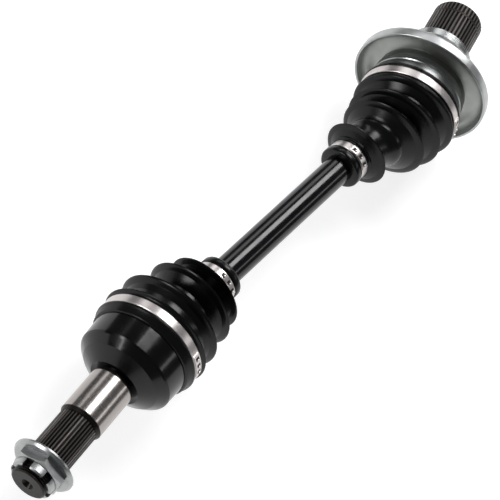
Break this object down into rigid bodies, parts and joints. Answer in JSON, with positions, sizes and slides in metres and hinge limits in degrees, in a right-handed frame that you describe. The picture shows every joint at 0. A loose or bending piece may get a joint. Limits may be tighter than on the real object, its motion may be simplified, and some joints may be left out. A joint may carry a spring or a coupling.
{
  "type": "cv axle",
  "caption": "Drive axle bar with a fixed ball joint and splined, threaded hub stub at one end and a plunging ball joint with dust shield and splined stub at the other.",
  "frame": {"origin": "middle of the bar, halfway between the two joint centres", "axes": "+X along the bar towards the inboard joint, both joints bend about +Z at rest"},
  "size_m": [0.4584, 0.0889, 0.09],
  "materials": {
    "black_paint": "gloss black paint",
    "ground_steel": "ground and oiled",
    "hardened_steel": "hardened",
    "ball_steel": "polished",
    "zinc_plate": "satin zinc",
    "stainless_band": "brushed",
    "boot_rubber": "semi-gloss moulded rubber",
    "phosphate_steel": "dark phosphate"
  },
  "bodies": {
    "shaft": {"axle_shaft": "black_paint", "outer_inner_race": "hardened_steel", "outer_race_circlip": "hardened_steel", "inner_inner_race": "hardened_steel", "inner_race_circlip": "hardened_steel", "outer_boot_small_clamp": "stainless_band", "inner_boot_small_clamp": "stainless_band"},
    "outer_top": {"outer_ball_top": "ball_steel"},
    "outer_middle": {"outer_cage": "hardened_steel", "outer_side_balls": "ball_steel"},
    "outer_bottom": {"outer_ball_bottom": "ball_steel"},
    "outer_stub": {"outer_race": "black_paint", "hub_nut": "zinc_plate", "outer_boot_large_clamp": "stainless_band", "outer_boot": "boot_rubber"},
    "inner_top": {"inner_ball_top": "ball_steel"},
    "inner_middle": {"inner_cage": "hardened_steel", "inner_side_balls": "ball_steel"},
    "inner_bottom": {"inner_ball_bottom": "ball_steel"},
    "inner_sleeve": {"inner_boot": "boot_rubber"},
    "inner_stub": {"inner_housing": "phosphate_steel", "dust_shield": "zinc_plate", "housing_mouth_ring": "hardened_steel", "stub_circlip": "hardened_steel", "inner_boot_large_clamp": "stainless_band"}
  },
  "joints": [
    {"name": "outer_tilt", "type": "hinge", "parent": "shaft", "child": "outer_top", "pos_m": [-0.13175, 0, 0], "axis": [0, 1, 0], "range_deg": [-12, 12], "deforming": ["outer_boot"]},
    {"name": "outer_turn", "type": "hinge", "parent": "outer_top", "child": "outer_middle", "pos_m": [-0.13175, 0, 0], "axis": [0, 0, 1], "range_deg": [-15, 9]},
    {"name": "outer_turn_far", "type": "hinge", "parent": "outer_middle", "child": "outer_bottom", "pos_m": [-0.13175, 0, 0], "axis": [0, 0, 1], "range_deg": [-15.01, 9.01]},
    {"name": "outer_tilt_far", "type": "hinge", "parent": "outer_bottom", "child": "outer_stub", "pos_m": [-0.13175, 0, 0], "axis": [-0.1045, 0.9945, 0], "range_deg": [-12.01, 12.01]},
    {"name": "inner_tilt", "type": "hinge", "parent": "shaft", "child": "inner_top", "pos_m": [0.13175, 0, 0], "axis": [0, 1, 0], "range_deg": [-6.75, 6.75]},
    {"name": "inner_turn", "type": "hinge", "parent": "inner_top", "child": "inner_middle", "pos_m": [0.13175, 0, 0], "axis": [0, 0, 1], "range_deg": [-14.62, 1.38]},
    {"name": "inner_turn_far", "type": "hinge", "parent": "inner_middle", "child": "inner_bottom", "pos_m": [0.13175, 0, 0], "axis": [0, 0, 1], "range_deg": [-14.63, 1.39]},
    {"name": "inner_tilt_far", "type": "hinge", "parent": "inner_bottom", "child": "inner_sleeve", "pos_m": [0.13175, 0, 0], "axis": [-0.2292, 0.9734, 0], "range_deg": [-6.76, 6.76]},
    {"name": "inner_plunge", "type": "slide", "parent": "inner_sleeve", "child": "inner_stub", "axis": [0.9734, 0.2292, 0], "range_m": [-0.014, 0.0025], "deforming": ["inner_boot"]}
  ],
  "couplings": [
    {"joint": "outer_turn_far", "follows": "outer_turn", "ratio": 1},
    {"joint": "outer_tilt_far", "follows": "outer_tilt", "ratio": 1},
    {"joint": "inner_turn_far", "follows": "inner_turn", "ratio": 1},
    {"joint": "inner_tilt_far", "follows": "inner_tilt", "ratio": 1}
  ]
}
